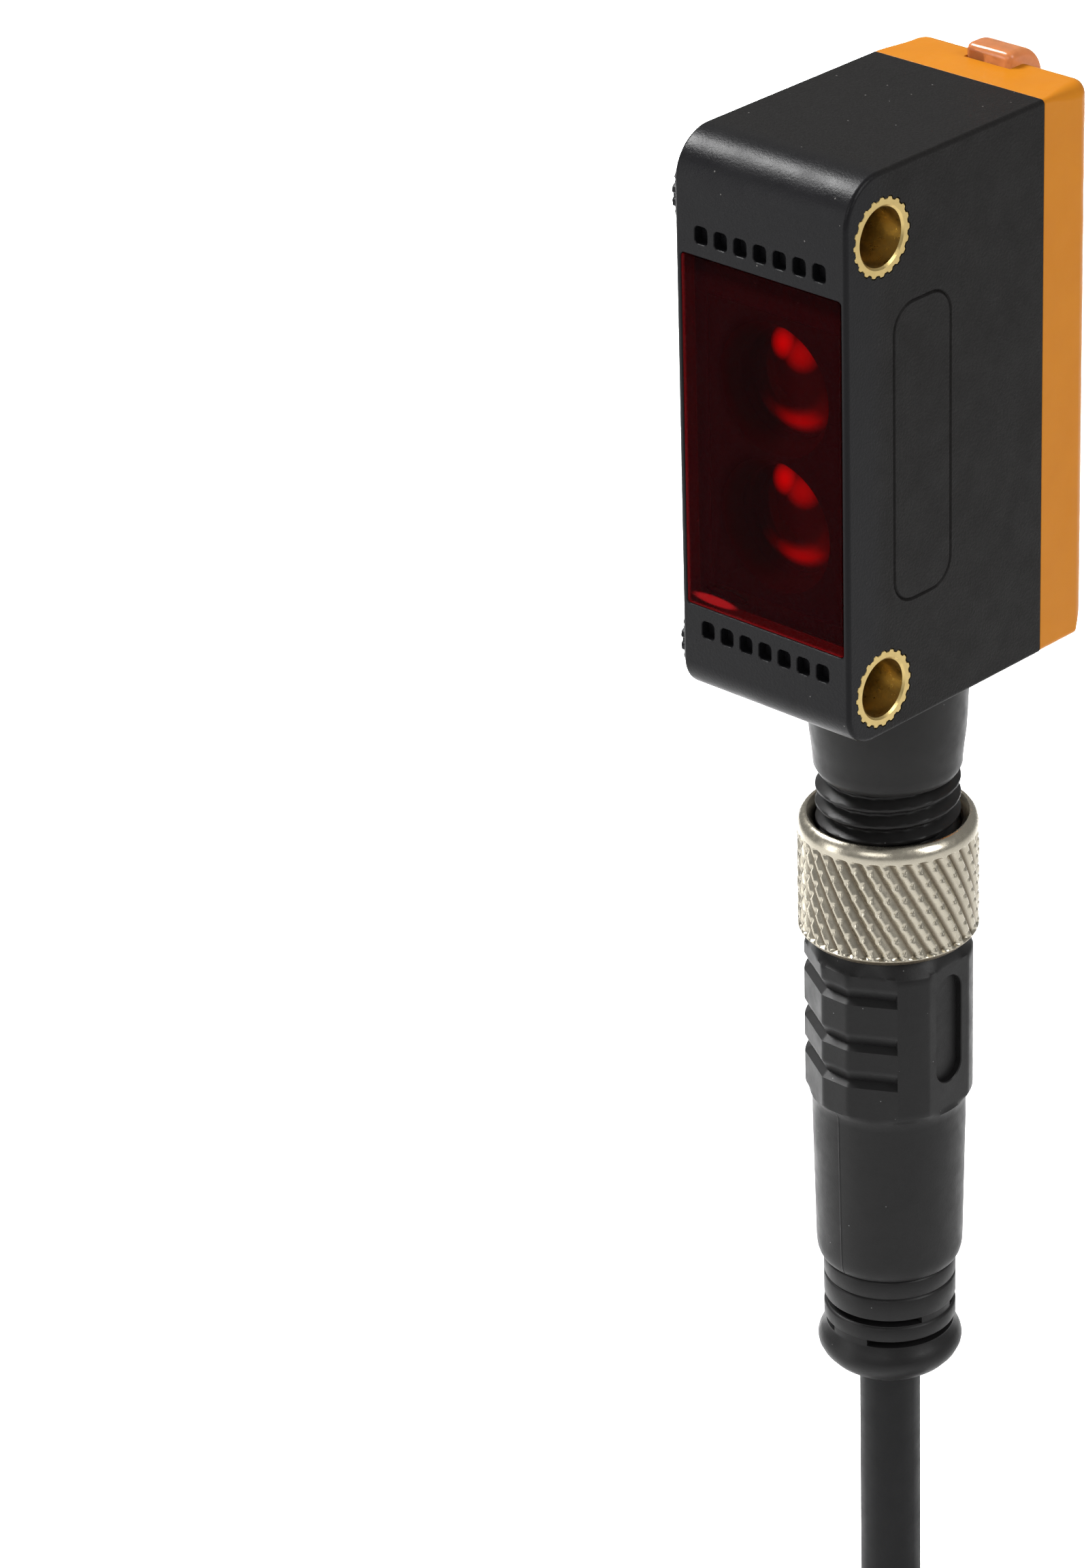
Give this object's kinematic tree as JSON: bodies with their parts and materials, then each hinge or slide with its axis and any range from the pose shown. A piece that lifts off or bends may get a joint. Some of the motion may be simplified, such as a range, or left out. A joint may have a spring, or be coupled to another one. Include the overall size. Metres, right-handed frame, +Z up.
{
  "type": "photoelectric sensor",
  "caption": "Small upright photoelectric sensor with a red lens window, threaded side bushings, a rear light pipe and a screw-on plug with its cable folded in a hank.",
  "frame": {"origin": "midway between the two side bushings, on the housing's middle plane", "axes": "+X along the bushings towards the plain side, -Y the way the light leaves, +Z up"},
  "size_m": [0.0404, 0.0273, 0.2225],
  "materials": {
    "black_plastic": "fine-textured black moulding, satin on the rounded edges",
    "orange_plastic": "smooth slightly translucent orange moulding",
    "clear_plastic": "clear moulded light pipe with a pinkish cast",
    "red_window": "polished very dark red filter plate",
    "red_lens": "polished lens seen through the red filter",
    "optics_black": "matt black moulding",
    "seal_rubber": "black rubber",
    "circuit_board": "green solder mask",
    "led_body": "pale clear epoxy",
    "chip_black": "black epoxy package",
    "capacitor_tan": "tan ceramic",
    "brass": "machined knurled brass",
    "spring_steel": "plain spring steel",
    "contact_gold": "gold-plated brass",
    "nickel": "nickel-plated brass with a diamond knurl",
    "soft_black": "black satin polyurethane overmould",
    "brown_insulator": "brown insulating plastic",
    "core_grey": "insulated wires",
    "cable_jacket": "black satin polyurethane jacket",
    "tie_black": "black hook-and-loop band",
    "core_brown": "brown wire insulation, tinned tip",
    "core_white": "white wire insulation, tinned tip",
    "core_blue": "blue wire insulation, tinned tip",
    "core_black": "black wire insulation, tinned tip"
  },
  "bodies": {
    "sensor": {"housing": "black_plastic", "connector_shell": "black_plastic", "rear_cover": "orange_plastic", "indicator_lens": "clear_plastic", "front_window": "red_window", "upper_lens": "red_lens", "lower_lens": "red_lens", "lens_holder": "optics_black", "cover_gasket": "seal_rubber", "neck_seal": "seal_rubber", "optics_board": "circuit_board", "main_board": "circuit_board", "pin_board": "circuit_board", "emitter_led": "led_body", "indicator_leds": "led_body", "receiver_chip": "chip_black", "controller_chip": "chip_black", "driver_chip": "chip_black", "board_capacitors": "capacitor_tan", "board_header": "optics_black", "threaded_bushings": "brass", "retaining_ring": "spring_steel", "pin_carrier": "optics_black", "contact_pins": "contact_gold"},
    "plug": {"plug_overmould": "soft_black", "contact_carrier": "brown_insulator", "socket_contacts": "contact_gold", "plug_oring": "seal_rubber", "plug_cores": "core_grey", "cable_tail": "cable_jacket", "cable": "cable_jacket", "cable_hank": "cable_jacket", "hank_tie": "tie_black", "core_brown": "core_brown", "core_white": "core_white", "core_blue": "core_blue", "core_black": "core_black"},
    "nut": {"coupling_nut": "nickel"}
  },
  "joints": [
    {"name": "plug_slide", "type": "slide", "parent": "sensor", "child": "plug", "axis": [0, 0, -1], "range_m": [0, 0.005]},
    {"name": "nut_turn", "type": "hinge", "parent": "plug", "child": "nut", "pos_m": [0, 0.0071, -0.028], "axis": [0, 0, -1], "range_deg": [0, 1800]}
  ],
  "couplings": [
    {"joint": "nut_turn", "follows": "plug_slide", "rad_per_m": 6283.2}
  ]
}
